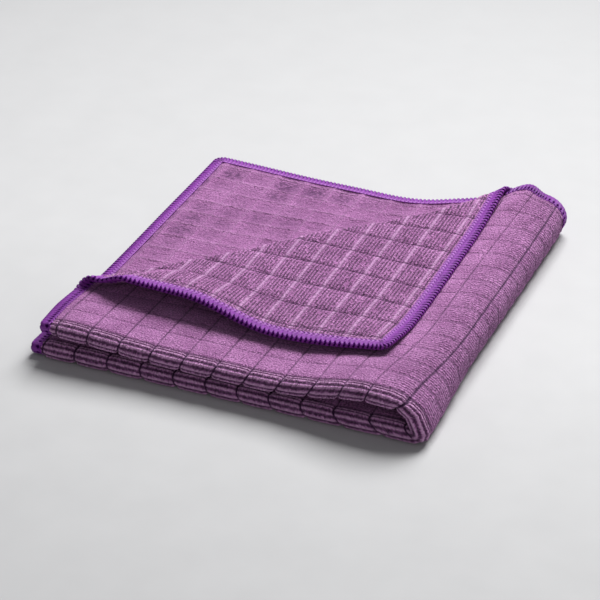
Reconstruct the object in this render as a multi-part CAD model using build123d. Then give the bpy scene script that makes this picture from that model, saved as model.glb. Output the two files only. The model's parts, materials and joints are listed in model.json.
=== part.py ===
from build123d import *
import os

os.makedirs("parts", exist_ok=True)

# A square towel, folded in half along its front edge, in half again along its right edge,
# with the back-left corner of the top ply turned over along a diagonal.
# X runs to the right along the front fold, Y to the back, Z up. Sizes are in millimetres.
# The origin is the centre of the face that the towel lies on.

# Driving sizes
FOLDED_WIDTH = 200.0  # left rim to the outside of the right fold
FOLDED_DEPTH = 200.0  # outside of the front fold to the back rim
CLOTH = 3.2  # thickness of one ply
PLY_GAP = 1.0  # air between two plies
RIM_RADIUS = 10.0  # rounding of the towel's own corners
FRONT_STRIP = 40.0  # least width of top ply in front of the turned corner
RIGHT_STRIP = 40.0  # least width of top ply to the right of the turned corner
EDGING_WIDTH = 4.5  # reach of the looper threads over the rim
EDGING_WALL = 0.5  # thickness of the looper threads
SEAM_WIDTH = 0.6  # width of the needle thread's row
CREASE_GAP = 0.5  # gap between two panels that turn on one crease
RAMP_START = 2.0  # from the turned corner's rim to where the top plies start to rise
RAMP_LENGTH = 22.0  # run over which the top plies rise to the right fold

# Heights
PLY_PITCH = CLOTH + PLY_GAP
BOTTOM, SECOND, THIRD, TOP, CORNER = [ply * PLY_PITCH for ply in range(5)]
TOTAL_HEIGHT = CORNER + CLOTH

# The creases are rolls. The right fold is a loose loop as high as the turned corner,
# so the opened half lies flat on whatever the towel lies on.
ROLL_OUTER = CLOTH + PLY_GAP / 2
ROLL_INNER = PLY_GAP / 2
LOOP_OUTER = TOTAL_HEIGHT / 2
LOOP_INNER = LOOP_OUTER - PLY_PITCH
RISE = PLY_PITCH

# Plan
LEFT = -FOLDED_WIDTH / 2
RIGHT = FOLDED_WIDTH / 2
FRONT = -FOLDED_DEPTH / 2
BACK = FOLDED_DEPTH / 2
ROLL_Y = FRONT + ROLL_OUTER
LOOP_X = RIGHT - LOOP_OUTER
PANEL_END = LOOP_X - CREASE_GAP / 2
LEG = min(FOLDED_WIDTH - RIGHT_STRIP, FOLDED_DEPTH - FRONT_STRIP)
LEG_X = LEFT + LEG
LEG_Y = BACK - LEG
RAMP_X = LEG_X + RAMP_START
CREASE_Z = (TOP + CORNER + CLOTH) / 2

OVERSIZE = 2 * max(FOLDED_WIDTH, FOLDED_DEPTH)


def column(outline):
    """Everything above and below a plan outline."""
    return extrude(Plane.XY.offset(-OVERSIZE) * outline, 2 * OVERSIZE)


def rectangle(x_low, x_high, y_low, y_high):
    centre = Pos((x_low + x_high) / 2, (y_low + y_high) / 2)
    return centre * Rectangle(x_high - x_low, y_high - y_low)


def towel_area(inset):
    """The towel's plan at least inset from its left and back rims."""
    area = rectangle(LEFT + inset, OVERSIZE, -OVERSIZE, BACK - inset)
    corner = area.vertices().sort_by(Axis.X)[:2].sort_by(Axis.Y)[-1]
    return column(fillet(corner, RIM_RADIUS - inset))


def turned_area(inset):
    """The turned corner's plan at least inset from its front and right rims."""
    area = rectangle(-OVERSIZE, LEG_X - inset, LEG_Y + inset, OVERSIZE)
    corner = area.vertices().sort_by(Axis.X)[-2:].sort_by(Axis.Y)[0]
    return column(fillet(corner, RIM_RADIUS - inset))


def square_area(inset):
    """The towel's plan with a sharp corner, for creases that don't reach the rounding."""
    return column(rectangle(LEFT + inset, OVERSIZE, -OVERSIZE, BACK - inset))


def beside_diagonal(side, clearance):
    """The half space on one side of the diagonal crease: 1 is front right, -1 is back left."""
    middle = Plane(origin=((LEFT + LEG_X) / 2, (LEG_Y + BACK) / 2, 0), x_dir=(1, 1, 0), z_dir=(0, 0, 1))
    block = Box(4 * OVERSIZE, 4 * OVERSIZE, 2 * OVERSIZE)
    return middle * Pos(0, -side * (2 * OVERSIZE + clearance), 0) * block


def flat_ply(height, trim, x_end=PANEL_END):
    """A level ply from the front roll to the back, less trim from both faces."""
    ply = rectangle(-OVERSIZE, x_end, ROLL_Y, OVERSIZE)
    return extrude(Plane.XY.offset(height + trim) * ply, CLOTH - 2 * trim)


def raised_ply(height, trim):
    """A ply that rises to the loop of the right fold, less trim from both faces."""
    low, high = height + trim, height + CLOTH - trim
    ramp_end = RAMP_X + RAMP_LENGTH
    outline = [
        (-OVERSIZE, low),
        (RAMP_X, low),
        (ramp_end, low + RISE),
        (PANEL_END, low + RISE),
        (PANEL_END, high + RISE),
        (ramp_end, high + RISE),
        (RAMP_X, high),
        (-OVERSIZE, high),
    ]
    side = make_face(Plane.XZ.offset(-ROLL_Y) * Polyline(outline, close=True))
    return extrude(side, OVERSIZE, dir=(0, 1, 0))


def half_ring(outer, inner):
    """Half a ring on the left of its own Y axis."""
    ring = Circle(outer) - Circle(inner)
    return ring & rectangle(-2 * outer, 0, -2 * outer, 2 * outer)


def front_section(x, height, trim):
    """Section of a front roll whose lower ply lies at height, less trim from both faces."""
    place = Plane(origin=(x, ROLL_Y, height + ROLL_OUTER), x_dir=(0, 1, 0), z_dir=(1, 0, 0))
    return place * half_ring(ROLL_OUTER - trim, ROLL_INNER + trim)


def front_roll(height, trim, raised):
    """The crease along the front, level or rising with the top plies."""
    if not raised:
        return extrude(front_section(-OVERSIZE, height, trim), OVERSIZE + PANEL_END, dir=(1, 0, 0))
    ramp_end = RAMP_X + RAMP_LENGTH
    slope = Vector(RAMP_LENGTH, 0, RISE)
    level = extrude(front_section(-OVERSIZE, height, trim), OVERSIZE + RAMP_X, dir=(1, 0, 0))
    ramp = extrude(front_section(RAMP_X, height, trim), slope.length, dir=slope)
    landing = front_section(ramp_end, height + RISE, trim)
    return level + ramp + extrude(landing, PANEL_END - ramp_end, dir=(1, 0, 0))


def right_roll(outer, trim):
    """A crease of the right fold, from the front roll to the back."""
    ring = Pos(LOOP_X, LOOP_OUTER) * Rot(0, 0, 180) * half_ring(outer - trim, outer - CLOTH + trim)
    ring += [
        Pos(LOOP_X, LOOP_OUTER + side * (outer - CLOTH / 2))
        * Rectangle(CREASE_GAP, CLOTH - 2 * trim)
        for side in (-1, 1)
    ]
    ring &= rectangle(PANEL_END, OVERSIZE, -OVERSIZE, OVERSIZE)
    return extrude(Plane.XZ.offset(-ROLL_Y) * ring, OVERSIZE, dir=(0, 1, 0))


def right_corner():
    """The front roll where it goes round the right fold, a quarter of a twisted ring."""
    section = front_section(LOOP_X, BOTTOM, 0)
    axis = Axis((LOOP_X, 0, LOOP_OUTER), (0, -1, 0))
    turn = revolve(section, axis, 180)
    lower = extrude(front_section(PANEL_END, BOTTOM, 0), CREASE_GAP / 2, dir=(1, 0, 0))
    upper = extrude(front_section(PANEL_END, THIRD + RISE, 0), CREASE_GAP / 2, dir=(1, 0, 0))
    return turn + lower + upper


def diagonal_roll(trim):
    """The crease of the turned corner."""
    outer, inner = ROLL_OUTER - trim, ROLL_INNER + trim
    ring = half_ring(outer, inner)
    ring += [Pos(0, side * (outer + inner) / 2) * Rectangle(CREASE_GAP, CLOTH - 2 * trim) for side in (-1, 1)]
    ring &= rectangle(-OVERSIZE, CREASE_GAP / 2, -OVERSIZE, OVERSIZE)
    start = Plane(origin=(LEFT, LEG_Y, CREASE_Z), x_dir=(1, -1, 0), z_dir=(-1, -1, 0))
    return extrude(start * ring, OVERSIZE, both=True)


def sew(full, core, area):
    """Cloth, looper threads and needle thread of one stretch of towel with a free rim."""
    tongue = core & area(EDGING_WALL)
    inner = EDGING_WIDTH + SEAM_WIDTH
    edging = (full & area(0)) - (full & area(EDGING_WIDTH)) - tongue
    needle = (full & area(EDGING_WIDTH)) - (full & area(inner)) - tongue
    cloth = (full & area(inner)) + tongue
    return cloth, edging, needle


def write(name, solids):
    export_step(Compound(children=list(solids), label=name), f"parts/{name}.step")


top_full = raised_ply(TOP, 0) & beside_diagonal(1, CREASE_GAP / 2)
top_core = raised_ply(TOP, EDGING_WALL) & beside_diagonal(1, CREASE_GAP / 2)
turned_full = flat_ply(CORNER, 0) & beside_diagonal(1, CREASE_GAP / 2)
turned_core = flat_ply(CORNER, EDGING_WALL) & beside_diagonal(1, CREASE_GAP / 2)

# name: (full thickness, core inside the threads, free rims, group whose needle thread it carries)
STRETCHES = {
    "bottom_panel": (flat_ply(BOTTOM, 0), flat_ply(BOTTOM, EDGING_WALL), towel_area, "base"),
    "second_panel": (flat_ply(SECOND, 0), flat_ply(SECOND, EDGING_WALL), towel_area, "base"),
    "front_fold_lower": (
        front_roll(BOTTOM, 0, False),
        front_roll(BOTTOM, EDGING_WALL, False),
        square_area,
        "base",
    ),
    "third_panel": (raised_ply(THIRD, 0), raised_ply(THIRD, EDGING_WALL), towel_area, "top_half"),
    "top_panel": (top_full, top_core, square_area, "top_half"),
    "front_fold_upper": (
        front_roll(THIRD, 0, True),
        front_roll(THIRD, EDGING_WALL, True),
        square_area,
        "top_half",
    ),
    "turned_corner": (turned_full, turned_core, turned_area, "turned_corner"),
    "right_fold_outer": (
        right_roll(LOOP_OUTER, 0),
        right_roll(LOOP_OUTER, EDGING_WALL),
        square_area,
        "right_fold",
    ),
    "right_fold_inner": (
        right_roll(LOOP_INNER, 0),
        right_roll(LOOP_INNER, EDGING_WALL),
        square_area,
        "right_fold",
    ),
    "corner_fold": (diagonal_roll(0), diagonal_roll(EDGING_WALL), square_area, "corner_fold"),
}

needle_threads = {}
for name, (full, core, area, group) in STRETCHES.items():
    cloth, edging, needle = sew(full, core, area)
    write(name, cloth.solids())
    needle_threads.setdefault(group, []).extend(needle.solids())
    rims = edging.solids().sort_by(Axis.Y)
    if len(rims) == 2:
        write(f"{name}_edging_left", rims[:1])
        write(f"{name}_edging_back", rims[1:])
    else:
        write(f"{name}_edging", rims)
write("right_fold_corner", right_corner().solids())
for group, threads in needle_threads.items():
    write(f"{group}_needle_thread", threads)
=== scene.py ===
import json
import math

import bpy
import bmesh
import numpy as np
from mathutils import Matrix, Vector


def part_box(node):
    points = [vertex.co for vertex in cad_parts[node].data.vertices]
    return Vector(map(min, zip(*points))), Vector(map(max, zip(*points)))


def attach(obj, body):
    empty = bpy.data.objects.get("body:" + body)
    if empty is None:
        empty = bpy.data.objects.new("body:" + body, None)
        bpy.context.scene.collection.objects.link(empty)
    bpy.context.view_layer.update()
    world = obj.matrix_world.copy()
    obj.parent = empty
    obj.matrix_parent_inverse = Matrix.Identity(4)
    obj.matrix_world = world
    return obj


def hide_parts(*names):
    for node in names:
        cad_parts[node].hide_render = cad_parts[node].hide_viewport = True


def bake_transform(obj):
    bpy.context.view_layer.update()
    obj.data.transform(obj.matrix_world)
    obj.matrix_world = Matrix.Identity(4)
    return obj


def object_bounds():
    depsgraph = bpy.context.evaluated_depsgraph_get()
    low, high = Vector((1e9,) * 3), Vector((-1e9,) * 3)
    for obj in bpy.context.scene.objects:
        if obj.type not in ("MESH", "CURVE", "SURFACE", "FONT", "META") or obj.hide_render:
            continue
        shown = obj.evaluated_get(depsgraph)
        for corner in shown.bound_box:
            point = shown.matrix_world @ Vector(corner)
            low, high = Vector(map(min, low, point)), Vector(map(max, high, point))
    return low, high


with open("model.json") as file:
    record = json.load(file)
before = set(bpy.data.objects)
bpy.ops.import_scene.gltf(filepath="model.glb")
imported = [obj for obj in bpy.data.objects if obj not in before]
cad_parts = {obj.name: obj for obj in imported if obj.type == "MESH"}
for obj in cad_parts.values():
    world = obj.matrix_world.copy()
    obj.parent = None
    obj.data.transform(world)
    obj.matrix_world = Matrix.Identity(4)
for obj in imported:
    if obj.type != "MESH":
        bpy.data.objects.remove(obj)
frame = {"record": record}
CAD_LOW, CAD_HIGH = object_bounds()

# The towel is worked out in millimetres from its front left corner: x to the right, y to the back.
# Flat cloth is measured from the crossing of its two folds: s along x and w along y.
# s < 0 is the top half and s > 0 the base; w > 0 is the outer ply of each and w < 0 the inner one.
MM = 1000.0
ORIGIN = np.array([CAD_LOW[0], CAD_LOW[1], 0.0]) * MM
WIDTH, DEPTH, HEIGHT = (np.array(CAD_HIGH) - np.array(CAD_LOW)) * MM


def node_box(name):
    low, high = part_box(name)
    return np.array(low) * MM - ORIGIN, np.array(high) * MM - ORIGIN


def joint_place(name):
    found = next(j for j in frame["record"]["behaviour"]["joints"] if j["name"] == name)
    return np.array(found["pos_m"]) * MM - ORIGIN


# Sizes taken from the CAD model
CLOTH = node_box("bottom_panel")[1][2]
PLY_PITCH = node_box("second_panel")[0][2]
PAIR = PLY_PITCH / 2
ROLL_Y = PAIR + CLOTH / 2
LOOP_X, _, LOOP_Z = joint_place("right_fold_open")
LOOP_MID = LOOP_Z - ROLL_Y
THIRD_LOW, THIRD_HIGH = node_box("third_panel")
RISE = THIRD_HIGH[2] - THIRD_LOW[2] - CLOTH
CORNER_LOW, CORNER_HIGH = node_box("turned_corner_edging")
CORNER_X, CORNER_Y = CORNER_HIGH[0], CORNER_LOW[1]
AXIS_PLACE = joint_place("corner_open")
CREASE_Z = AXIS_PLACE[2]
SIDE_S = LOOP_X + math.pi * LOOP_MID / 2
SIDE_W = DEPTH - ROLL_Y + math.pi * PAIR / 2

# The knit
CELL_S = 16.7
CELL_W = 13.1
GROOVE_S = 9.6
RIBS_PER_CELL = 8
RIB = CELL_W / RIBS_PER_CELL
RIM_RADIUS = 6.0
EDGING_OUTER = 5.4
EDGING_INNER = 6.2

# Where the mesh is divided into pieces: along grooves, and just in front of the corner's crease
BASE_SPLIT = GROOVE_S + CELL_S
INNER_SPLIT = -CELL_W / 2
CREASE_SPLIT = 3.0

# The corner's crease runs from the left rim to the back rim
CREASE_START = np.array([0.0, CORNER_Y])
CREASE_END = np.array([CORNER_X + 5.0, DEPTH])
CREASE_LENGTH = np.linalg.norm(CREASE_END - CREASE_START)
CREASE_ALONG = (CREASE_END - CREASE_START) / CREASE_LENGTH
CREASE_ACROSS = np.array([-CREASE_ALONG[1], CREASE_ALONG[0]])


def smooth(low, high, value):
    t = np.clip((value - low) / (high - low), 0, 1)
    return t * t * (3 - 2 * t)


# ---------------------------------------------------------------- the folded shape


def fold_in_quarters(s, w):
    """Middle of the cloth after the front fold and the right fold, with the top half level with the loop."""
    turn = np.clip(w / PAIR, -math.pi / 2, math.pi / 2)
    y = ROLL_Y + np.maximum(np.abs(w) - PAIR * math.pi / 2, 0) - PAIR * np.cos(turn)
    radius = LOOP_MID + PAIR * np.sin(turn)
    length = LOOP_X + radius * math.pi / 2
    arc = s * length / SIDE_S
    bend = np.clip(arc / radius, -math.pi / 2, math.pi / 2)
    x = LOOP_X - np.maximum(np.abs(arc) - radius * math.pi / 2, 0) + radius * np.cos(bend)
    z = LOOP_Z - radius * np.sin(bend)
    return x, y, z


def crease_frame(x, y):
    """Distance along the corner's crease, and across it towards the tip that is turned over."""
    dx, dy = x - CREASE_START[0], y - CREASE_START[1]
    along = dx * CREASE_ALONG[0] + dy * CREASE_ALONG[1]
    across = dx * CREASE_ACROSS[0] + dy * CREASE_ACROSS[1]
    return along, across


# Extra radius of the crease's roll at its left end and its back end, and how far that reaches
FAT_LEFT = 1.9
FAT_BACK = 0.1
FAT_REACH = 15.0
SETTLE_REACH = 22.0

# The turned corner's front rim stands up, most of all at the left, and bows to the front
RIM_LIFT = 2.4
LEFT_LIFT = 5.5
LEFT_LIFT_FADE = (0.36, 0.64)
LIFT_START = 14
LIFT_REACH = 26.0
BOW = 4.5
BOW_MIDDLE = 0.64
BOW_REACH = (34, 40)
TIP_ALONG, TIP_ACROSS = crease_frame(0.0, DEPTH)

# How far the two ends of the crease and the turned tip lie from a square turn: (x, y) in mm
CREASE_START_OFF = (-1.5, -4.0)
CREASE_END_OFF = (8.0, -1.0)
TIP_OFF = (10.0, -2.0)

# Where the top ply follows them: how far in front of the crease, and where that fades along y and x
FOLLOW_REACH = 35
FOLLOW_Y = (0, 32)
FOLLOW_X = (168, 192)


def crease_radius(along):
    """Radius of the cloth's middle round the crease."""
    fat = FAT_LEFT * np.exp(-((along / FAT_REACH) ** 2))
    return PAIR + fat + FAT_BACK * np.exp(-(((CREASE_LENGTH - along) / FAT_REACH) ** 2))


def turn_corner(s, w, x, y, z):
    """Turns the back left corner of the top ply over its crease, and lifts and bows its front rim."""
    along, across = crease_frame(x, y)
    turned = (s < 0) & (w > 0) & (across > 0)
    radius = crease_radius(along)
    angle = np.clip(across / radius, 0, math.pi)
    beyond = np.maximum(across - math.pi * radius, 0) * TIP_ACROSS / (TIP_ACROSS - math.pi * PAIR)
    back = radius * np.sin(angle) - beyond
    settled = 2 * (radius - PAIR) * (1 - np.exp(-beyond / SETTLE_REACH))
    rise = radius * (1 - np.cos(angle)) - settled
    new_x = CREASE_START[0] + along * CREASE_ALONG[0] + back * CREASE_ACROSS[0]
    new_y = CREASE_START[1] + along * CREASE_ALONG[1] + back * CREASE_ACROSS[1]
    from_rim = np.maximum(new_y - CORNER_Y, 0)
    lift = LEFT_LIFT * (1 - smooth(*LEFT_LIFT_FADE, new_x / CORNER_X)) + RIM_LIFT
    lift = lift * np.exp(-((from_rim / LIFT_REACH) ** 2)) * smooth(0, LIFT_START, beyond)
    bow = BOW * np.exp(-(((new_x - BOW_MIDDLE * CORNER_X) / BOW_REACH[0]) ** 2))
    bow = bow * np.exp(-((from_rim / BOW_REACH[1]) ** 2))
    x = np.where(turned, new_x, x)
    y = np.where(turned, new_y - bow, y)
    z = np.where(turned, z + rise + lift, z)
    return x, y, z, along, across, np.where(turned, beyond, 0)


def draw_off_square(s, w, x, y, along, across, beyond):
    """Draws the crease's ends and the turned tip to where they really lie; the top ply near them follows."""
    tip = np.clip(beyond / TIP_ACROSS, 0, 1)
    end = along / CREASE_LENGTH - tip * TIP_ALONG / CREASE_LENGTH
    start = 1 - end - tip
    fade = np.exp(-((np.minimum(across, 0) / FOLLOW_REACH) ** 2))
    fade = fade * smooth(*FOLLOW_Y, y) * (1 - smooth(*FOLLOW_X, x))
    fade = np.where((s < 0) & (w > 0), np.where(across > 0, 1, fade), 0)
    shift = [start * a + end * b + tip * c for a, b, c in zip(CREASE_START_OFF, CREASE_END_OFF, TIP_OFF)]
    return x + fade * shift[0], y + fade * shift[1]


def hill(x, y, height, top_x, top_y, reach_x, reach_y):
    """A hill of a given height at its top, falling off smoothly around it."""
    return height * np.exp(-(((x - top_x) / reach_x) ** 2) - ((y - top_y) / reach_y) ** 2)


# Hills in the top half: height, the top's x and y, and the reach along x and y, all in mm
FRONT_ROLL_HILL = (2.2, 166, 0, 24, 40)
FRONT_LEFT_HILL = (2.5, 0, 0, 45, 40)
BACK_RIM_HILL = (2.2, 148, DEPTH, 16, 24)
CROWN = (6.0, 173, DEPTH, 12, 26)

# Where the towel counts as near its front and its back, and where the top half sinks off the loop
NEAR_FRONT = (10, 70)
NEAR_BACK = (130, 190)
SINK_FROM = 4
SINK_FROM_NEAR_FRONT = 48
SINK_NEAR_BACK = 14
SINK_TO = 2

# How far the top half's front rim lies back and up, and how far that reaches
RIM_BACK = 1.5
RIM_UP = 0.8
RIM_REACH = 50

# The loop's lean, with its share near the front, and where it fades in along x
LEAN = 0.18
LEAN_NEAR_FRONT = 0.57
LEAN_FADE = (145, 190)


def settle_on_plies(s, w, x, y, z):
    """The top half sinks onto the base away from the loop, and the loop leans."""
    near_front, near_back = 1 - smooth(*NEAR_FRONT, y), smooth(*NEAR_BACK, y)
    start = CORNER_X - SINK_FROM - SINK_FROM_NEAR_FRONT * near_front - SINK_NEAR_BACK * near_back
    ramp = smooth(start, LOOP_X - SINK_TO - SINK_NEAR_BACK * near_back, x)
    front_roll = hill(x, y, *FRONT_ROLL_HILL)
    front_left = hill(x, y, *FRONT_LEFT_HILL)
    z = z + np.where(s < 0, front_roll + front_left - RISE * (1 - ramp), 0)
    front_rim = 1 - smooth(0, RIM_REACH, y)
    y = y + np.where(s < 0, RIM_BACK * front_rim, 0)
    z = z + np.where(s < 0, RIM_UP * front_rim, 0)
    back_rim = hill(x, y, *BACK_RIM_HILL)
    crown = hill(x, y, *CROWN)
    z = z + np.where(s < 0, back_rim, 0) + np.where((s < 0) & (w > 0), crown, 0)
    lean = (LEAN + LEAN_NEAR_FRONT * near_front) * smooth(*LEAN_FADE, x)
    return x + lean * (LOOP_Z - z), y, z


# How far each corner of the stack lies off the square: (x, y) in mm
OFF_SQUARE = {
    "front_left": (-1.0, -3.0),
    "front_right": (-8.0, 2.0),
    "back_left": (1.5, -6.0),
    "back_right": (-3.0, 8.0),
}

# The back rim's bow to the front, where it ends and fades in, and its deeper stretch as a hill
BACK_BOW = 7.0
BACK_BOW_END = 1.25
BACK_BOW_FADE = (0.6, 1.0)
BACK_BOW_HILL = (-4.5, 118, DEPTH, 26, 40)

# Swells in mm at full height, and how far the base's front left corner sticks out
SWELL = 0.7
SMALL_SWELL = 0.35
SWELL_TOP = 1.3
STAGGER = -5.0
STAGGER_REACH = (90, 80)


def lie_naturally(s, x, y, z):
    """How a folded towel is off the square: skew, bowed back rim, staggered plies and swells."""
    u, v = x / WIDTH, y / DEPTH
    weights = {
        "front_left": (1 - u) * (1 - v),
        "front_right": u * (1 - v),
        "back_left": (1 - u) * v,
        "back_right": u * v,
    }
    shift_x = sum(OFF_SQUARE[k][0] * weights[k] for k in weights)
    shift_y = sum(OFF_SQUARE[k][1] * weights[k] for k in weights)
    bow = BACK_BOW * np.sin(math.pi * np.clip(BACK_BOW_END * u, 0, 1)) * smooth(*BACK_BOW_FADE, v)
    shift_y = shift_y - bow + hill(x, y, *BACK_BOW_HILL)
    up = np.clip(z / HEIGHT, 0, SWELL_TOP)
    swell = SWELL * np.sin(x / 27.0 + 0.6) * np.sin(y / 33.0 + 1.1)
    swell = swell + SMALL_SWELL * np.sin(x / 13.0 + y / 17.0)
    z = z + swell * up
    near_left, near_front = 1 - smooth(0, STAGGER_REACH[0], x), 1 - smooth(0, STAGGER_REACH[1], y)
    base_stagger = np.where(s > 0, STAGGER, 0.0) * near_left * near_front
    return x + shift_x + base_stagger, y + shift_y, z


def folded(s, w):
    """Middle of the cloth, in mm from the front left corner, for flat places s and w."""
    x, y, z = fold_in_quarters(s, w)
    x, y, z, along, across, beyond = turn_corner(s, w, x, y, z)
    x, y, z = settle_on_plies(s, w, x, y, z)
    x, y = draw_off_square(s, w, x, y, along, across, beyond)
    x, y, z = lie_naturally(s, x, y, z)
    return np.stack([x, y, z], axis=-1)


def outward(s, w, step=0.15):
    """Unit normal of the cloth's outer face."""
    along = folded(s + step, w) - folded(s - step, w)
    across = folded(s, w + step) - folded(s, w - step)
    normal = np.cross(along, across)
    return normal / np.linalg.norm(normal, axis=-1, keepdims=True)


def round_rim(s, w):
    """Moves places in the four corner squares of the flat cloth so that its outline is rounded."""
    a = np.clip((np.abs(s) - (SIDE_S - RIM_RADIUS)) / RIM_RADIUS, 0, 1)
    b = np.clip((np.abs(w) - (SIDE_W - RIM_RADIUS)) / RIM_RADIUS, 0, 1)
    both = (a > 0) & (b > 0)
    round_a = a * np.sqrt(1 - b * b / 2)
    round_b = b * np.sqrt(1 - a * a / 2)
    s = np.where(both, np.sign(s) * (SIDE_S - RIM_RADIUS + RIM_RADIUS * round_a), s)
    w = np.where(both, np.sign(w) * (SIDE_W - RIM_RADIUS + RIM_RADIUS * round_b), w)
    return s, w


# ---------------------------------------------------------------- relief of the knit


def from_line(value, first, pitch):
    """Distance to the nearest of a row of evenly spaced lines."""
    t = (value - first) / pitch
    return np.abs(t - np.round(t)) * pitch


def rim_distance(s, w):
    """Distance in from the rounded rim."""
    a = np.maximum(np.abs(s) - (SIDE_S - RIM_RADIUS), 0)
    b = np.maximum(np.abs(w) - (SIDE_W - RIM_RADIUS), 0)
    straight = np.minimum(SIDE_S - np.abs(s), SIDE_W - np.abs(w))
    return np.where((a > 0) & (b > 0), RIM_RADIUS - np.hypot(a, b), straight)


def on_corner(s, w):
    """1 where the cloth belongs to the turned corner."""
    x, y, _ = fold_in_quarters(s, w)
    _, across = crease_frame(x, y)
    return ((s < 0) & (w > 0)) * smooth(-1, 3, across)


def in_crease(s, w):
    """1 inside the roll of the corner's crease, where the outer face has no room for its relief."""
    x, y, _ = fold_in_quarters(s, w)
    along, across = crease_frame(x, y)
    roll = math.pi * crease_radius(along)
    return ((s < 0) & (w > 0)) * smooth(-3, 0, across) * (1 - smooth(roll, roll + 3, across))


def on_triangle(s, w):
    """1 in the middle of the triangle of inner face that the turned corner leaves bare."""
    x, y, _ = fold_in_quarters(s, w)
    _, across = crease_frame(x, y)
    return ((s < 0) & (w < 0)) * smooth(-4, 16, across)


# Share of the inner face's relief that is left against the ply that it faces, and in the right fold
PRESSED = 0.62
PRESSED_IN_FOLD = 0.08


def freedom(s, w):
    """How much of its relief the inner face keeps: 1 where nothing covers it, less where it is pressed."""
    x, y, _ = fold_in_quarters(s, w)
    _, across = crease_frame(x, y)
    open_corner = ((s < 0) & (w > 0)) * smooth(3, 7, across)
    in_fold = 1 - smooth(30, 42, np.abs(s))
    pressed = PRESSED + (PRESSED_IN_FOLD - PRESSED) * in_fold
    return pressed + (1 - pressed) * np.maximum(open_corner, on_triangle(s, w))


def outer_ribbing(s, w):
    """How strongly the ribs show through the nap of the outer face: where the cloth is bent."""
    front = 1 - smooth(5.8, 7.8, np.abs(w))
    right = 0.6 * smooth(-30, -8, s) * (1 - smooth(10, 34, s))
    return np.clip(0.06 + front + right, 0, 1)


def inner_ribbing(s, w):
    return 0.15 + 0.85 * on_corner(s, w)


def outer_relief(s, w):
    """Height in mm of the outer face above the mean face of the cloth."""
    ds, dw = from_line(s, GROOVE_S, CELL_S), from_line(w, CELL_W / 2, CELL_W)
    front = 1 - smooth(5.8, 7.8, np.abs(w))
    pillow = 0.45 * (1 - np.exp(-ds / 2.2)) * (1 - np.exp(-dw / 2.2)) - 0.15
    groove = -(0.35 + 0.55 * front) * np.exp(-((ds / 0.6) ** 2)) - 0.22 * np.exp(-((dw / 0.5) ** 2))
    rib = (0.24 + 0.22 * front) * outer_ribbing(s, w) * np.cos(2 * math.pi * w / RIB)
    return pillow + groove + rib * smooth(0.2, 1.1, ds)


def cell_dimple(s, w):
    """Sunken cells, each by its own amount."""
    place_s, place_w = (s - GROOVE_S) / CELL_S, (w - CELL_W / 2) / CELL_W
    own = np.mod(np.abs(np.sin(np.floor(place_s) * 12.9 + np.floor(place_w) * 78.2)) * 437.5, 1)
    block = np.mod(np.abs(np.sin(np.floor(place_s / 2) * 12.9 + np.floor(place_w / 2) * 78.2)) * 437.5, 1)
    own = 0.45 * own + 0.55 * block
    shape = np.abs(np.sin(math.pi * place_s) * np.sin(math.pi * place_w))
    return -(0.35 + 1.45 * own) * shape**0.4


def inner_relief(s, w):
    """Height in mm of the inner face above the mean face of the cloth."""
    ds, dw = from_line(s, GROOVE_S, CELL_S), from_line(w, CELL_W / 2, CELL_W)
    bare = on_triangle(s, w)
    pillow = (0.60 * (1 - np.exp(-ds / 2.0)) - 0.2) * (1 - bare)
    groove = -(0.55 - 0.75 * bare) * np.exp(-((ds / 0.65) ** 2))
    band = smooth(0.6, 1.1, dw)
    rib = 0.30 * inner_ribbing(s, w) * np.cos(2 * math.pi * w / RIB) * smooth(0.2, 1.0, ds)
    lines = 0.22 * (1 - 0.5 * bare) * (1 - band)
    return freedom(s, w) * (pillow + groove + rib * band + lines + bare * cell_dimple(s, w))


def half_thickness(rim_distance):
    """The rim is pressed thinner by its edging."""
    return CLOTH / 2 * (0.5 + 0.5 * smooth(4.0, 9.5, rim_distance))


# ---------------------------------------------------------------- weights of the pieces over the joints

BOOK_BLEND = BASE_SPLIT - 0.5


def book_weight(s, w):
    """0 on the base, 1 on the top half, turning over the right fold."""
    return 1 - smooth(-BOOK_BLEND, BOOK_BLEND, s)


def corner_weight(s, w):
    """0 on the top half; on the turned corner, the share of the half turn that lays it level with its ply."""
    flat_x, flat_y, _ = fold_in_quarters(s, w)
    along, across = crease_frame(flat_x, flat_y)
    at_crease = np.clip(along, 0, CREASE_LENGTH)
    crease_x = CREASE_START[0] + at_crease * CREASE_ALONG[0]
    crease_y = CREASE_START[1] + at_crease * CREASE_ALONG[1]
    ply_height = folded(*top_place(crease_x, crease_y))[..., 2] - (CREASE_Z - PAIR)
    ply_height = ply_height * np.exp(-np.maximum(across, 0) / 45)
    middle = folded(s, w)
    from_axis = (middle[..., 1] - AXIS_PLACE[1] - middle[..., 0] + AXIS_PLACE[0]) / math.sqrt(2)
    above_axis = middle[..., 2] - CREASE_Z
    reach = np.maximum(np.hypot(from_axis, above_axis), 0.01)
    now = np.mod(np.arctan2(from_axis, -above_axis), 2 * math.pi)
    level = np.arccos(np.clip((PAIR - ply_height) / reach, -1, 1))
    exact = np.clip((now - level) / math.pi, 0, 1.08)
    round_crease = np.clip(across / crease_radius(along), 0, math.pi) / math.pi
    turned = smooth(0.35, 0.65, round_crease) * smooth(3.5, 8.0, reach)
    return np.where((s < 0) & (w > 0) & (across > 0), (1 - turned) * round_crease + turned * exact, 0)


# ---------------------------------------------------------------- meshes


def to_frame(points):
    """Puts places in mm into the shared frame, pressed flat where the towel lies on the floor."""
    flattened = np.stack([points[..., 0], points[..., 1], np.maximum(points[..., 2], 0)], axis=-1)
    return (flattened + ORIGIN) / MM


def new_object(name, points, faces):
    mesh = bpy.data.meshes.new(name)
    mesh.from_pydata(to_frame(points).tolist(), [], faces)
    mesh.polygons.foreach_set("use_smooth", [True] * len(mesh.polygons))
    piece = bpy.data.objects.new(name, mesh)
    bpy.context.scene.collection.objects.link(piece)
    return piece


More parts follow.
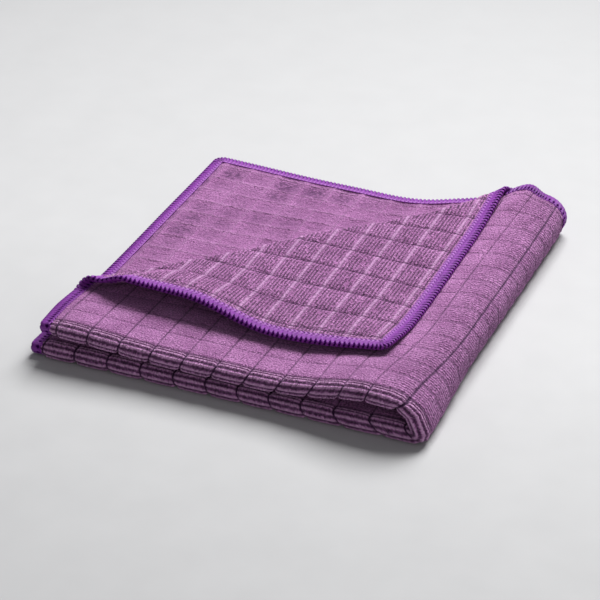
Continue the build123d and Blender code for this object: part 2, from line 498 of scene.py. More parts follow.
def set_point_value(piece, name, values):
    attribute = piece.data.attributes.new(name, "FLOAT", "POINT")
    attribute.data.foreach_set("value", np.asarray(values, np.float32))


def set_flat_map(piece, s, w):
    """Stores the flat place of every corner of every face as a UV map, in mm."""
    layer = piece.data.uv_layers.new(name="flat")
    corner_vertex = np.empty(len(piece.data.loops), np.int32)
    piece.data.loops.foreach_get("vertex_index", corner_vertex)
    uv = np.stack([s[corner_vertex], w[corner_vertex]], axis=-1)
    layer.data.foreach_set("uv", uv.astype(np.float32).ravel())


# Mesh columns in each cell, in mm from its groove; the turned corner has more of them, for its crease
COLUMN_OFFSETS = (0.0, 0.7, 1.8, 5.2, 11.5, 14.9, 16.0)
CORNER_COLUMN_OFFSETS = (0.0, 0.7, *(round(1.8 + 1.1 * k, 1) for k in range(12)), 14.9, 16.0)
ROWS_PER_RIB = 4


def grid_lines(low, high, first, pitch, offsets):
    """Grid lines between low and high that repeat with the knit, and the two ends themselves."""
    start, end = math.floor((low - first) / pitch) - 1, math.ceil((high - first) / pitch) + 1
    lines = [first + k * pitch + o for k in range(start, end) for o in offsets]
    spare = 0.3 * min(np.diff(offsets + (pitch,)))
    inside = [v for v in lines if low + spare < v < high - spare]
    return np.array([low] + inside + [high])


def flat_grid(s_lines, w_lines, crease_side):
    """Flat mesh of the grid, cut at the corner's crease split: -1 keeps the front, 1 the corner, 0 all."""
    mesh = bmesh.new()
    rows = [[mesh.verts.new((s, w, 0)) for s in s_lines] for w in w_lines]
    for j in range(len(w_lines) - 1):
        for i in range(len(s_lines) - 1):
            mesh.faces.new((rows[j][i], rows[j][i + 1], rows[j + 1][i + 1], rows[j + 1][i]))
    if crease_side:
        place, normal = crease_split_in_flat()
        geometry = mesh.verts[:] + mesh.edges[:] + mesh.faces[:]
        bmesh.ops.bisect_plane(
            mesh, geom=geometry, plane_co=place, plane_no=normal * -crease_side, clear_outer=True, dist=1e-4
        )
    mesh.verts.index_update()
    flat = np.array([v.co[:2] for v in mesh.verts])
    faces = [[v.index for v in f.verts] for f in mesh.faces]
    rim = [(e.verts[0].index, e.verts[1].index) for e in mesh.edges if e.is_boundary]
    links = {}
    for face in faces:
        for a, b in zip(face, face[1:] + face[:1]):
            links[(a, b)] = True
    rim = [(a, b) if (a, b) in links else (b, a) for a, b in rim]
    mesh.free()
    return flat[:, 0], flat[:, 1], faces, rim


def top_place(x, y):
    """Flat place of a point of the unfolded top ply."""
    radius = LOOP_MID + PAIR
    length = LOOP_X + radius * math.pi / 2
    s = -(LOOP_X - x + radius * math.pi / 2) * SIDE_S / length
    return s, y - ROLL_Y + PAIR * math.pi / 2


def crease_split_in_flat():
    """Point and normal, in flat places, of the line just in front of the corner's crease."""
    start = CREASE_START - CREASE_SPLIT * CREASE_ACROSS
    end = CREASE_END - CREASE_SPLIT * CREASE_ACROSS
    a, b = np.array(top_place(*start)), np.array(top_place(*end))
    along = (b - a) / np.linalg.norm(b - a)
    return Vector((a[0], a[1], 0)), Vector((-along[1], along[0], 0))


def cloth_piece(name, s_range, w_range, crease_side=0):
    """A closed piece of cloth with both faces' relief."""
    columns = CORNER_COLUMN_OFFSETS if crease_side > 0 else COLUMN_OFFSETS
    s_lines = grid_lines(*s_range, GROOVE_S, CELL_S, columns)
    row_offsets = tuple(np.arange(RIBS_PER_CELL * ROWS_PER_RIB) * RIB / ROWS_PER_RIB)
    w_lines = grid_lines(*w_range, CELL_W / 2, CELL_W, row_offsets)
    s, w, faces, rim = flat_grid(s_lines, w_lines, crease_side)
    s, w = round_rim(s, w)
    middle, normal = folded(s, w), outward(s, w)
    near_rim = smooth(5.0, 8.5, rim_distance(s, w))
    half = half_thickness(rim_distance(s, w)) - 0.4 * (1 - smooth(4.3, 5.6, rim_distance(s, w)))
    hidden = in_crease(s, w)
    outer = middle + normal * (half - 0.35 * hidden + outer_relief(s, w) * near_rim * (1 - hidden))[:, None]
    inner = middle - normal * (half + inner_relief(s, w) * near_rim)[:, None]
    count = len(s)
    all_faces = faces + [[i + count for i in reversed(f)] for f in faces]
    all_faces += [[b, a, a + count, b + count] for a, b in rim]
    piece = new_object(name, np.concatenate([outer, inner]), all_faces)
    mark_sharp(piece, rim, count)
    both_s, both_w = np.concatenate([s, s]), np.concatenate([w, w])
    set_flat_map(piece, both_s, both_w)
    set_point_value(piece, "outer_face", np.repeat([1.0, 0.0], count))
    ribbing = np.concatenate([outer_ribbing(s, w), inner_ribbing(s, w)])
    set_point_value(piece, "ribbing", ribbing)
    bare = on_triangle(s, w)
    # Painted shade in the sunken cells of the bare triangle, stronger away from the crease towards its tip.
    near_tip = 0.3 + 0.7 * smooth(15, 70, crease_frame(middle[:, 0], middle[:, 1])[1])
    dimple_shade = np.clip(-cell_dimple(s, w) - 0.15, 0, 1) ** 1.5 * bare * near_tip
    set_point_value(piece, "bare", np.concatenate([np.zeros(count), bare]))
    set_point_value(piece, "dimple_shade", np.concatenate([np.zeros(count), dimple_shade]))
    return piece, both_s, both_w


def mark_sharp(piece, rim, count):
    """Keeps the faces' shading clear of the walls that close the piece."""
    wall = {tuple(sorted(e)) for e in rim} | {tuple(sorted((a + count, b + count))) for a, b in rim}
    edges = np.empty(2 * len(piece.data.edges), np.int32)
    piece.data.edges.foreach_get("vertices", edges)
    sharp = [tuple(sorted(e)) in wall for e in edges.reshape(-1, 2).tolist()]
    attribute = piece.data.attributes.new("sharp_edge", "BOOLEAN", "EDGE")
    attribute.data.foreach_set("value", sharp)


# ---------------------------------------------------------------- the rim and its overlock edging

STRAIGHT_S = 2 * (SIDE_S - RIM_RADIUS)
STRAIGHT_W = 2 * (SIDE_W - RIM_RADIUS)
ARC = RIM_RADIUS * math.pi / 2


def rim_place(t, inset):
    """Flat place inset from the rim, t mm along it from the middle of the top half's left rim."""
    t = np.mod(np.asarray(t, float), T_TOTAL)
    sides = [
        (STRAIGHT_W / 2, (-SIDE_S, 0), (0, 1)),
        (STRAIGHT_S, (-SIDE_S + RIM_RADIUS, SIDE_W), (1, 0)),
        (STRAIGHT_W, (SIDE_S, SIDE_W - RIM_RADIUS), (0, -1)),
        (STRAIGHT_S, (SIDE_S - RIM_RADIUS, -SIDE_W), (-1, 0)),
        (STRAIGHT_W / 2, (-SIDE_S, -SIDE_W + RIM_RADIUS), (0, 1)),
    ]
    s, w = np.zeros_like(t), np.zeros_like(t)
    start = 0.0
    for length, place, way in sides:
        inward = (way[1], -way[0])
        here = (t >= start) & (t <= start + length)
        s = np.where(here, place[0] + (t - start) * way[0] + inset * inward[0], s)
        w = np.where(here, place[1] + (t - start) * way[1] + inset * inward[1], w)
        end = (place[0] + length * way[0], place[1] + length * way[1])
        centre = (end[0] + RIM_RADIUS * inward[0], end[1] + RIM_RADIUS * inward[1])
        turn = (t - start - length) / RIM_RADIUS
        on_arc = (t > start + length) & (t < start + length + ARC)
        reach = np.maximum(RIM_RADIUS - inset, 0.05)
        s_arc = centre[0] + reach * (np.sin(turn) * way[0] - np.cos(turn) * inward[0])
        w_arc = centre[1] + reach * (np.sin(turn) * way[1] - np.cos(turn) * inward[1])
        s = np.where(on_arc, s_arc, s)
        w = np.where(on_arc, w_arc, w)
        start += length + ARC
    return s, w


T_LEFT_CORNER = STRAIGHT_W / 2
T_BACK_OUTER = T_LEFT_CORNER + ARC
T_BASE_CORNER = T_BACK_OUTER + STRAIGHT_S
T_BASE_SIDE = T_BASE_CORNER + ARC
T_BASE_END = T_BASE_SIDE + STRAIGHT_W
T_BACK_INNER = T_BASE_END + ARC
T_TOTAL = 2 * (STRAIGHT_S + STRAIGHT_W) + 4 * ARC


def rim_spans():
    """Start and end of the edging's pieces along the rim."""
    t_left = top_place(*(CREASE_START - CREASE_SPLIT * CREASE_ACROSS))[1]
    back_split = top_place(*(CREASE_END - CREASE_SPLIT * CREASE_ACROSS))[0]
    t_back = T_BACK_OUTER + back_split + SIDE_S - RIM_RADIUS
    t_base = T_BACK_OUTER + BASE_SPLIT + SIDE_S - RIM_RADIUS
    t_inner = T_BACK_INNER + SIDE_S - RIM_RADIUS - BASE_SPLIT
    return {
        "corner": (t_left, t_back),
        "outer": (t_back, t_base),
        "base": (t_base, t_inner),
        "inner": (t_inner, T_TOTAL + t_left),
    }


STITCH = 2.2
SAMPLES_PER_STITCH = 8

# The edging's outline: its height on the cloth, its rounded nose, and the widths its points are for
THREAD_COVER = 0.34
NOSE_INSET = 1.1
NOSE_REACH = 1.35
NOSE_STEPS = 8
DRAWN_OUTER = 5.4
DRAWN_INNER = 7.0


def at_rim(t, inset, height):
    """Point above the cloth's middle by height, at inset from the rim; past the rim it goes straight out."""
    held = np.maximum(inset, 0.05)
    s, w = rim_place(t, held)
    middle, normal = folded(s, w), outward(s, w)
    further = folded(*rim_place(t, held + 0.5))
    out = middle - further
    out = out / np.maximum(np.linalg.norm(out, axis=-1, keepdims=True), 1e-9)
    return middle + normal * height[..., None] + out * (held - inset)[..., None], s, w


def edging_section():
    """Outline of the edging across the rim: inset and height, and how far each point follows the threads."""
    cover = THREAD_COVER
    outer_insets = np.array([5.3, 4.8, 4.3, 3.9, 3.5, 2.7, 1.9, 1.1]) * EDGING_OUTER / DRAWN_OUTER
    inner_insets = np.array([1.1, 1.9, 2.7, 3.5, 4.2, 4.7, 5.2, 5.7, 6.2, 6.6, 6.9])
    inner_insets = inner_insets * EDGING_INNER / DRAWN_INNER
    inner_insets[0] = NOSE_INSET
    outer = [(i, half_thickness(i) + cover * smooth(0, 0.8, EDGING_OUTER - i)) for i in outer_insets]
    inner = [(i, -half_thickness(i) - cover * smooth(0, 0.8, EDGING_INNER - i)) for i in inner_insets]
    nose = []
    for k in range(1, NOSE_STEPS):
        angle = math.pi / 2 - k * math.pi / NOSE_STEPS
        nose_height = (half_thickness(0) + cover) * math.sin(angle)
        nose.append((NOSE_INSET - NOSE_REACH * math.cos(angle), nose_height))
    hidden = [(EDGING_INNER - 0.6, -0.6), (1.6, -0.4), (1.6, 0.4), (EDGING_OUTER - 0.6, 0.5)]
    points = outer + nose + inner + hidden
    moves = [1.0] * (len(points) - len(hidden)) + [0.0] * len(hidden)
    return np.array(points), np.array(moves)


def edging_threads(stitch, inset, height):
    """Swell in mm of the wrapped threads over the edging, depth of gap for the painted shade in the gaps, and
    the painted highlight on the chain's threads.
    """
    on_outer = smooth(0.0, 0.8, height)
    on_inner = smooth(0.0, 0.8, -height)
    chain = on_inner * smooth(3.8, 4.3, inset)
    holes = on_outer * np.exp(-(((inset - 3.9) / 0.6) ** 2))
    slant = on_inner * 0.16 * (inset - 1.0) + chain * (0.45 * np.abs(inset - 5.1) - 0.16 * (inset - 1.0))
    thread = np.abs(np.sin((stitch + slant) * math.pi))
    strands = 0.04 * np.cos((stitch + slant) * 6 * math.pi)
    at_nose = (1 - smooth(0.6, 3.4, inset)) * (1 - 0.8 * on_outer)
    tooth = 0.78 * at_nose + 0.9 * holes + 0.25 * chain
    notch = smooth(0.0, 0.30, tooth - thread)
    swell = 0.14 * (thread - 0.5) + strands + chain * 0.3 * (thread - 0.6) - 0.55 * notch
    # The gap value sets the painted shade in the gaps between the wraps; the last value is the painted
    # highlight on the chain's threads.
    gap = np.clip(notch + 0.25 * (1 - thread), 0, 1)
    return swell, gap, chain * thread**2


def edging_piece(name, span):
    """The looper threads: a sleeve of threads wrapped side by side over the rim."""
    section, moves = edging_section()
    count = int(round((span[1] - span[0]) / STITCH)) * SAMPLES_PER_STITCH
    t = np.linspace(span[0], span[1], count + 1)
    across = np.linspace(0, 1, len(section))
    grid_t = np.repeat(t[:, None], len(section), axis=1)
    inset = np.repeat(section[None, :, 0], len(t), axis=0)
    height = np.repeat(section[None, :, 1], len(t), axis=0)
    stitch = (grid_t - span[0]) / STITCH
    swell, gap, chain_highlight = edging_threads(stitch, inset, height)
    swell = swell * moves[None, :]
    ring = np.hypot(np.minimum(inset - NOSE_INSET, 0), height)
    nose = inset < NOSE_INSET
    push_in = np.where(nose, swell * (inset - NOSE_INSET) / np.maximum(ring, 0.3), 0)
    push_up = np.where(nose, swell * height / np.maximum(ring, 0.3), swell * np.sign(height))
    points, s, w = at_rim(grid_t, inset + push_in, height + push_up)
    rows, columns = points.shape[:2]
    index = np.arange(rows * columns).reshape(rows, columns)
    a, b = index[:-1, :], index[1:, :]
    c, d = np.roll(b, -1, axis=1), np.roll(a, -1, axis=1)
    faces = np.stack([a, d, c, b], axis=-1).reshape(-1, 4).tolist()
    faces += [index[0].tolist(), index[-1][::-1].tolist()]
    piece = new_object(name, points.reshape(-1, 3), faces)
    set_flat_map(piece, stitch.ravel(), np.repeat(across[None, :], rows, axis=0).ravel())
    # Where the threads lie, against the gaps that are painted dark as shade, and the painted highlight on the
    # chain.
    set_point_value(piece, "thread", ((1 - gap) * moves[None, :]).ravel())
    set_point_value(piece, "chain_highlight", (chain_highlight * moves[None, :]).ravel())
    return piece, s.ravel(), w.ravel()


DASH_HEIGHT = 0.15


def dash(length, width, height, steps=5, sides=8):
    """Points and faces of one small lens of thread lying along the rim."""
    points, faces = [], []
    for i in range(steps):
        angle = math.pi * (i + 0.5) / steps
        ring = math.sin(angle)
        for j in range(sides):
            turn = 2 * math.pi * j / sides
            side, up = ring * math.cos(turn) * width / 2, ring * math.sin(turn) * height / 2
            points.append((-math.cos(angle) * length / 2, side, up))
    for i in range(steps - 1):
        for j in range(sides):
            k = (j + 1) % sides
            faces.append((i * sides + j, i * sides + k, (i + 1) * sides + k, (i + 1) * sides + j))
    faces.append(tuple(reversed(range(sides))))
    faces.append(tuple(range((steps - 1) * sides, steps * sides)))
    return np.array(points), faces


def needle_piece(name, span):
    """The needle thread: a dash per stitch on the outer face, and a loop per stitch on the inner face."""
    count = int(round((span[1] - span[0]) / STITCH))
    centres = span[0] + (np.arange(count) + 0.5) * (span[1] - span[0]) / count
    rows = [
        (dash(1.5, 0.6, 0.7), EDGING_OUTER + 0.3, 1),
        (dash(1.0, 0.65, 0.75), EDGING_INNER - 0.25, -1),
    ]
    all_points, all_faces, all_s, all_w = [], [], [], []
    offset = 0
    for (points, faces), inset, side in rows:
        t = centres[:, None] + points[None, :, 0]
        base = half_thickness(inset) + DASH_HEIGHT
        insets = inset + np.repeat(points[None, :, 1], count, axis=0)
        placed, s, w = at_rim(t, insets, side * (base + points[None, :, 2]))
        all_points.append(placed.reshape(-1, 3))
        all_s.append(s.ravel())
        all_w.append(w.ravel())
        for k in range(count):
            first = offset + k * len(points)
            order = [[first + i for i in f] for f in faces]
            all_faces += order if side > 0 else [f[::-1] for f in order]
        offset += count * len(points)
    piece = new_object(name, np.concatenate(all_points), all_faces)
    return piece, np.concatenate(all_s), np.concatenate(all_w)


# ---------------------------------------------------------------- materials


def linear(red, green, blue):
    """Linear colour of a screen colour given from 0 to 255."""
    values = [c / 255 for c in (red, green, blue)]
    return [c / 12.92 if c <= 0.04045 else ((c + 0.055) / 1.055) ** 2.4 for c in values] + [1.0]


class Shader:
    """A node material with its Principled shader, and short ways to add nodes to it."""

    def __init__(self, name):
        self.material = bpy.data.materials.new(name)
        self.material.use_nodes = True
        self.tree = self.material.node_tree
        self.shader = self.tree.nodes["Principled BSDF"]

    def put(self, socket, value):
        if isinstance(value, bpy.types.NodeSocket):
            self.tree.links.new(value, socket)
        else:
            socket.default_value = value

    def node(self, kind, inputs, output=0, **settings):
        made = self.tree.nodes.new(kind)
        for key, value in settings.items():
            setattr(made, key, value)
        for key, value in inputs.items():
            self.put(made.inputs[key], value)
        return made.outputs[output]

    def math(self, operation, a, b=0.0):
        return self.node("ShaderNodeMath", {0: a, 1: b}, operation=operation)

    def times(self, a, b):
        return self.math("MULTIPLY", a, b)

    def attribute(self, name):
        return self.node("ShaderNodeAttribute", {}, "Fac", attribute_name=name)

    def noise(self, place, scale, detail=3.0, roughness=0.55):
        inputs = {"Vector": place, "Scale": scale, "Detail": detail, "Roughness": roughness}
        return self.node("ShaderNodeTexNoise", inputs, "Fac")

    def ramp(self, value, low, high):
        return self.node("ShaderNodeMapRange", {"Value": value, "From Min": low, "From Max": high})

    def mix(self, amount, a, b):
        made = self.tree.nodes.new("ShaderNodeMix")
        made.data_type = "RGBA"
        self.put(made.inputs[0], amount)
        self.put(made.inputs[6], a)
        self.put(made.inputs[7], b)
        return made.outputs[2]

    def near_line(self, value, first, pitch, width):
        """1 on each of a row of lines, falling to 0 at width from it."""
        shifted = self.math("DIVIDE", self.math("SUBTRACT", value, first), pitch)
        distance = self.math("ABSOLUTE", self.math("SUBTRACT", shifted, self.math("ROUND", shifted)))
        inputs = {
            "Value": self.times(distance, pitch),
            "From Min": 0.0,
            "From Max": width,
            "To Min": 1.0,
            "To Max": 0.0,
        }
        return self.node("ShaderNodeMapRange", inputs, interpolation_type="SMOOTHSTEP")

    def bump(self, height, distance, normal=None):
        inputs = {"Height": height, "Distance": distance, "Strength": 1.0}
        if normal is not None:
            inputs["Normal"] = normal
        return self.node("ShaderNodeBump", inputs)


def nap_colour(m, flat, grain, fluff):
    """Mauve pile with large blotches, darker fluff, and dark and pale grains."""
    blotch = m.noise(flat, 0.06, 3.0, 0.55)
    nap = m.mix(m.ramp(blotch, 0.35, 0.65), linear(174, 108, 168), linear(206, 138, 200))
    nap = m.mix(m.times(m.ramp(fluff, 0.5, 0.72), 0.4), nap, linear(118, 66, 118))
    nap = m.mix(m.times(m.ramp(grain, 0.47, 0.62), 0.8), nap, linear(84, 38, 86))
    return m.mix(m.times(m.ramp(grain, 0.45, 0.28), 0.85), nap, linear(232, 180, 228))


def rib_wave(m, flat, rib_place):
    """1 on the crest of each rib and -1 in its valleys, with a ragged edge."""
    jag = m.math("SUBTRACT", m.noise(flat, 1.3, 2.0), 0.5)
    ragged = m.math("ADD", rib_place, m.times(jag, 0.5))
    return m.math("COSINE", m.times(ragged, 2 * math.pi))


def along_ribs(m, s, stretch, rib, face):
    """Noise that runs along each rib and differs from rib to rib and from face to face."""
    inputs = {"X": m.times(s, stretch), "Y": m.times(rib, 3.17), "Z": face}
    return m.noise(m.node("ShaderNodeCombineXYZ", inputs), 1.0, 2.0, 0.6)


def grid_shades(m, flat, s, w, outer, ribbing, bare):
    """The dark lines of both faces, painted shade in their grooves; the pale lines of the inner one, and the
    faint ones of its bare part.
    """
    inner, covered = m.math("SUBTRACT", 1.0, outer), m.math("SUBTRACT", 1.0, bare)
    # Noise that breaks the lines into patches.
    patchy = m.ramp(m.noise(flat, 0.16, 4.0, 0.7), 0.30, 0.56)
    across_line = m.near_line(s, GROOVE_S, CELL_S, 0.75)
    along_line = m.times(m.near_line(w, CELL_W / 2, CELL_W, 0.55), 0.75)
    wide_line = m.near_line(w, CELL_W / 2, CELL_W, 1.3)
    shown_pale = m.math("SUBTRACT", 1.0, m.times(bare, 0.85))
    pale = m.times(m.times(wide_line, inner), shown_pale)
    # Painted shade in the outer face's grooves, deeper where the cloth is bent.
    outer_dark = m.times(m.math("MAXIMUM", across_line, along_line), outer)
    shown = m.math("ADD", 0.4, m.times(patchy, 0.6))
    outer_dark = m.times(outer_dark, m.math("ADD", shown, m.ramp(ribbing, 0.5, 1.0)))
    # Painted shade in the inner face's grooves, mostly left off the bare triangle, whose lines stand up as
    # ridges.
    shown_inside = m.math("ADD", 0.25, m.times(covered, 0.75))
    inner_dark = m.times(m.times(across_line, inner), shown_inside)
    ridge = m.times(m.math("MAXIMUM", across_line, wide_line), bare)
    faint = m.times(ridge, m.times(patchy, 0.2))
    return m.math("ADD", outer_dark, inner_dark), pale, faint


def cloth_material():
    """Mauve microfibre: napped outer face with thin grid lines, ribbed inner face with pale lines. Painted
    shade darkens the grid lines' grooves, the rib valleys, the gaps between beads and the bare triangle's
    wrinkles and sunken cells; a painted highlight lightens the rib crests.
    """
    m = Shader("microfibre_cloth")
    flat = m.node("ShaderNodeUVMap", {}, uv_map="flat")
    split = m.tree.nodes.new("ShaderNodeSeparateXYZ")
    m.tree.links.new(flat, split.inputs[0])
    s, w = split.outputs[0], split.outputs[1]
    outer, ribbing = m.attribute("outer_face"), m.attribute("ribbing")
    bare, dimple_shade = m.attribute("bare"), m.attribute("dimple_shade")
    grain = m.noise(flat, 1.15, 3.0, 0.7)
    fluff = m.noise(flat, 0.42, 3.0, 0.6)
    tufts = m.node("ShaderNodeTexVoronoi", {"Vector": flat, "Scale": 1.25, "Randomness": 1.0}, "Distance")

    rib_place = m.math("DIVIDE", w, RIB)
    wave = rib_wave(m, flat, rib_place)
    beads = along_ribs(m, s, 0.95, m.math("ROUND", rib_place), outer)
    # Noise along each rib valley of the inner face, which breaks the painted shade in the valleys into
    # dashes.
    gaps = along_ribs(m, s, 0.5, m.math("FLOOR", rib_place), m.math("SUBTRACT", 1.0, outer))
    dashes = m.math("MAXIMUM", m.ramp(gaps, 0.36, 0.50), m.times(outer, 0.8))
    # Painted shade in the valleys between the ribs.
    valley_shade = m.times(m.times(m.ramp(wave, 0.30, -0.75), ribbing), dashes)
    # Painted shade in the gaps between the beads of the inner face's ribs.
    bead_gap_shade = m.times(m.ramp(beads, 0.48, 0.62), ribbing)
    bead_gap_shade = m.times(bead_gap_shade, m.ramp(outer, 1.1, 0.0))
    groove_shade, pale, faint = grid_shades(m, flat, s, w, outer, ribbing, bare)
    valley_shade = m.times(valley_shade, m.math("SUBTRACT", 1.0, pale))
    wrinkle_place = m.node("ShaderNodeVectorMath", {0: flat, 1: (0.13, 0.36, 1.0)}, operation="MULTIPLY")
    wrinkle = m.noise(wrinkle_place, 1.0, 4.0, 0.6)
    # Painted shade along the bare triangle's wrinkles, where the bump dents the cloth.
    wrinkle_shade = m.times(m.times(m.ramp(wrinkle, 0.56, 0.72), bare), 0.25)
    # Painted shade in the sunken cells, patchy with the fluff.
    dimple_shade = m.times(dimple_shade, m.math("ADD", 0.25, m.ramp(fluff, 0.35, 0.6)))
    # Painted highlight on the rib crests where the outer face is bent.
    bent = m.times(m.ramp(ribbing, 0.62, 0.95), outer)
    crest_highlight = m.times(m.ramp(wave, 0.2, 0.9), bent)

    nap = nap_colour(m, flat, grain, fluff)
    colour = m.mix(m.times(bare, 0.3), nap, linear(172, 108, 166))
    # Painted shade in the sunken cells.
    colour = m.mix(m.math("MINIMUM", dimple_shade, 0.9), colour, linear(88, 42, 92))
    # Painted shade in the wrinkles.
    colour = m.mix(wrinkle_shade, colour, linear(104, 56, 108))
    colour = m.mix(faint, colour, linear(222, 172, 220))
    # Painted highlight on the rib crests.
    colour = m.mix(m.times(crest_highlight, 0.5), colour, linear(236, 190, 230))
    # Painted shade in the rib valleys.
    colour = m.mix(m.times(valley_shade, 0.84), colour, linear(42, 10, 48))
    # Painted shade between the beads.
    colour = m.mix(m.times(bead_gap_shade, 0.25), colour, linear(74, 30, 78))
    colour = m.mix(m.times(pale, 0.62), colour, linear(218, 168, 216))
    # Painted shade in the grooves of the grid lines.
    colour = m.mix(m.math("MINIMUM", m.times(groove_shade, 0.85), 1.0), colour, linear(56, 12, 62))
    m.put(m.shader.inputs["Base Color"], colour)
    m.put(m.shader.inputs["Roughness"], m.ramp(grain, -1.5, 1.3))
    m.shader.inputs["Specular IOR Level"].default_value = 0.18
    m.shader.inputs["Sheen Weight"].default_value = 0.45
    m.shader.inputs["Sheen Roughness"].default_value = 0.4
    m.shader.inputs["Sheen Tint"].default_value = linear(235, 190, 235)
    normal = m.bump(tufts, 0.0006)
    normal = m.bump(grain, -0.0009, normal)
    normal = m.bump(m.times(wrinkle, bare), -0.0010, normal)
    normal = m.bump(m.times(beads, ribbing), -0.0012, normal)
    m.put(m.shader.inputs["Normal"], normal)
    return m.material


def thread_material(name, pale, deep, strands):
    """Violet polyester thread with fine twisted strands; painted shade darkens the dips between strands and,
    on the looper, the gaps between wraps, and a painted highlight lightens the looper's chain.
    """
    m = Shader(name)
    if strands:
        flat = m.node("ShaderNodeUVMap", {}, uv_map="flat")
        split = m.tree.nodes.new("ShaderNodeSeparateXYZ")
        m.tree.links.new(flat, split.inputs[0])
        stretched = m.node("ShaderNodeVectorMath", {0: flat, 1: (1.0, 3.0, 1.0)}, operation="MULTIPLY")
        lines = m.math("SINE", m.times(split.outputs[0], 2 * math.pi * 5))
        gap = m.attribute("thread")
        noise = m.noise(stretched, 1.4, 3.0)
    else:
        place = m.node("ShaderNodeTexCoord", {}, "Object")
        lines = m.math("SUBTRACT", m.times(m.noise(place, 2500.0), 2.0), 1.0)
        gap = 1.0
        noise = m.noise(place, 180.0)
    colour = m.mix(m.ramp(noise, 0.3, 0.7), pale, m.mix(0.4, pale, deep))
    # Painted shade in the dips of the strands, which the bump sinks.
    colour = m.mix(m.times(m.ramp(lines, 0.2, -1.0), 0.35), colour, deep)
    if strands:
        # Painted highlight on the chain's threads.
        colour = m.mix(m.times(m.attribute("chain_highlight"), 0.55), colour, linear(206, 138, 222))
        # Painted shade in the gaps between the wraps.
        colour = m.mix(m.ramp(gap, 0.85, 0.45), colour, linear(52, 4, 74))
    m.put(m.shader.inputs["Base Color"], colour)
    m.shader.inputs["Roughness"].default_value = 0.5
    if strands:
        m.put(m.shader.inputs["Specular IOR Level"], m.times(m.ramp(gap, 0.5, 1.0), 0.4))
    else:
        m.shader.inputs["Specular IOR Level"].default_value = 0.4
    m.shader.inputs["Sheen Weight"].default_value = 0.05
    m.shader.inputs["Sheen Tint"].default_value = linear(200, 130, 230)
    m.put(m.shader.inputs["Normal"], m.bump(lines, 0.00008))
    return m.material


# ---------------------------------------------------------------- put together

cloth_look = cloth_material()
looper_look = thread_material("looper_thread", linear(150, 56, 178), linear(46, 4, 62), True)
needle_look = thread_material("needle_thread", linear(172, 84, 196), linear(60, 10, 78), False)

JOINT_OF = {
    "book": ("base", "top_half", book_weight),
    "corner": ("top_half", "turned_corner", corner_weight),
}


def follow(piece, way, s, w):
    """Rides on one body; over a joint it is baked in place and the weight that the flat place gives is worked
    out, but not used.
    """
    if way not in JOINT_OF:
        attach(piece, way)
        return
    first, second, weight = JOINT_OF[way]
    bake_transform(piece)
    values = weight(s, w).astype(np.float32)


def make_cloth(name, s_range, w_range, way, nodes, crease_side=0):
    piece, s, w = cloth_piece(name, s_range, w_range, crease_side)
    piece.data.materials.append(cloth_look)
    follow(piece, way, s, w)
    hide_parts(*nodes)
    if crease_side > 0:
        s_range = (s_range[0], s.max())
        w_range = (w.min(), w_range[1])


INSIDE_EDGING = 0.9
TOP_SIDE = (-SIDE_S + INSIDE_EDGING, BASE_SPLIT)
BASE_SIDE = (BASE_SPLIT, SIDE_S - INSIDE_EDGING)
OUTER_SIDE = (INNER_SPLIT, SIDE_W - INSIDE_EDGING)
INNER_SIDE = (-SIDE_W + INSIDE_EDGING, INNER_SPLIT)

BOTTOM_NODES = ["bottom_panel", "front_fold_lower"]
THIRD_NODES = ["third_panel", "right_fold_inner"]
TOP_NODES = ["top_panel", "front_fold_upper", "right_fold_outer", "right_fold_corner"]
CORNER_NODES = ["turned_corner", "corner_fold"]

make_cloth("cloth_bottom", BASE_SIDE, OUTER_SIDE, "base", BOTTOM_NODES)
make_cloth("cloth_second", BASE_SIDE, INNER_SIDE, "base", ["second_panel"])
make_cloth("cloth_third", TOP_SIDE, INNER_SIDE, "book", THIRD_NODES)
make_cloth("cloth_top", TOP_SIDE, OUTER_SIDE, "book", TOP_NODES, crease_side=-1)
make_cloth("cloth_corner", TOP_SIDE, OUTER_SIDE, "corner", CORNER_NODES, crease_side=1)

EDGING_NODES = {
    "corner": ["turned_corner_edging", "corner_fold_edging_left", "corner_fold_edging_back"],
    "outer": ["top_panel_edging_back", "right_fold_outer_edging"],
    "base": ["bottom_panel_edging", "second_panel_edging", "front_fold_lower_edging"],
    "inner": [
        "third_panel_edging",
        "top_panel_edging_left",
        "front_fold_upper_edging",
        "right_fold_inner_edging",
    ],
}
NEEDLE_NODES = {
    "corner": ["turned_corner_needle_thread", "corner_fold_needle_thread"],
    "outer": ["right_fold_needle_thread"],
    "base": ["base_needle_thread"],
    "inner": ["top_half_needle_thread"],
}
SPAN_WAY = {"corner": "corner", "outer": "book", "base": "base", "inner": "book"}

for part, span in rim_spans().items():
    sleeve, s, w = edging_piece(f"edging_{part}", span)
    sleeve.data.materials.append(looper_look)
    follow(sleeve, SPAN_WAY[part], s, w)
    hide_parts(*EDGING_NODES[part])
    row, s, w = needle_piece(f"needle_{part}", span)
    row.data.materials.append(needle_look)
    follow(row, SPAN_WAY[part], s, w)
    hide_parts(*NEEDLE_NODES[part])


# ---------------------------------------------------------------- floor, light and camera

CAMERA_AZIMUTH = math.radians(23.2)
CAMERA_ELEVATION = math.radians(33.0)
CAMERA_DISTANCE = 1.035
CAMERA_LENS = 126.0
CAMERA_SENSOR = 36.0
CAMERA_TARGET = Vector((98.5, 81.7, 8.0)) - Vector((WIDTH / 2, DEPTH / 2, 0))
FLOOR_SIZE = 3.0
WORLD_COLOUR = (0.93, 0.94, 0.96, 1)
WORLD_STRENGTH = 0.19


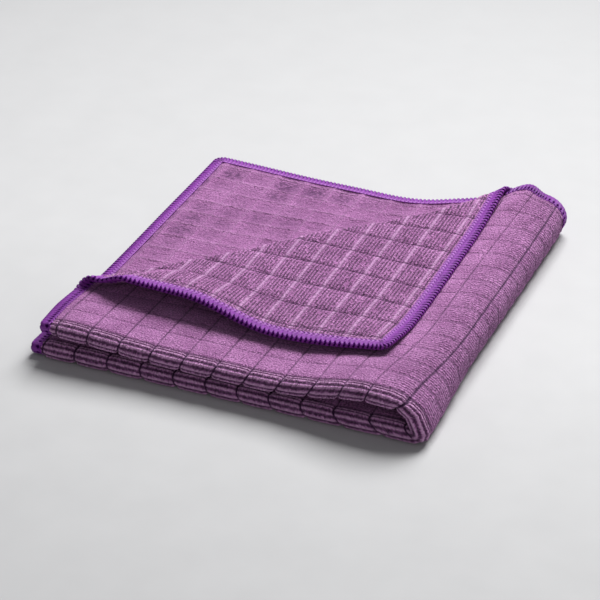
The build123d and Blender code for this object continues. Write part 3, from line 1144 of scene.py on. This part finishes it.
def floor_material():
    """Pale floor with a faint grain, and painted shade that makes it darker towards the back."""
    m = Shader("pale_floor")
    place = m.node("ShaderNodeTexCoord", {}, "Object")
    grain = m.noise(place, 40.0, 2.0)
    split = m.tree.nodes.new("ShaderNodeSeparateXYZ")
    m.tree.links.new(place, split.inputs[0])
    colour = m.mix(m.ramp(grain, 0.3, 0.7), linear(186, 186, 187), linear(189, 189, 190))
    # Painted shade: darker towards the back.
    colour = m.mix(m.ramp(split.outputs[1], 0.0, 0.5), colour, linear(132, 132, 133))
    m.put(m.shader.inputs["Base Color"], colour)
    m.shader.inputs["Roughness"].default_value = 0.8
    return m.material


def add_floor():
    corners = [(x * FLOOR_SIZE, y * FLOOR_SIZE, 0) for x, y in ((-1, -1), (1, -1), (1, 1), (-1, 1))]
    mesh = bpy.data.meshes.new("floor")
    mesh.from_pydata(corners, [], [(0, 1, 2, 3)])
    floor = bpy.data.objects.new("floor", mesh)
    bpy.context.scene.collection.objects.link(floor)
    mesh.materials.append(floor_material())


def add_light(name, place, size, power):
    data = bpy.data.lights.new(name, "AREA")
    data.size = size
    data.energy = power
    light = bpy.data.objects.new(name, data)
    light.location = place
    light.rotation_mode = "QUATERNION"
    light.rotation_quaternion = (-Vector(place)).to_track_quat("-Z", "Y")
    bpy.context.scene.collection.objects.link(light)


def add_camera():
    data = bpy.data.cameras.new("camera")
    data.lens = CAMERA_LENS
    data.sensor_width = CAMERA_SENSOR
    camera = bpy.data.objects.new("camera", data)
    back = Vector(
        (
            math.sin(CAMERA_AZIMUTH) * math.cos(CAMERA_ELEVATION),
            -math.cos(CAMERA_AZIMUTH) * math.cos(CAMERA_ELEVATION),
            math.sin(CAMERA_ELEVATION),
        )
    )
    camera.location = CAMERA_TARGET / MM + back * CAMERA_DISTANCE
    camera.rotation_mode = "QUATERNION"
    camera.rotation_quaternion = (-back).to_track_quat("-Z", "Y")
    bpy.context.scene.collection.objects.link(camera)
    bpy.context.scene.camera = camera


def add_world():
    world = bpy.data.worlds.new("studio")
    world.use_nodes = True
    background = world.node_tree.nodes["Background"]
    background.inputs["Color"].default_value = WORLD_COLOUR
    background.inputs["Strength"].default_value = WORLD_STRENGTH
    bpy.context.scene.world = world


add_floor()
add_world()
add_light("key", place=(0.06, 0.78, 0.90), size=0.7, power=28.5)
add_light("front", place=(0.7, -1.0, 0.45), size=0.8, power=1.3)
add_camera()
bpy.context.scene.view_settings.view_transform = "Standard"
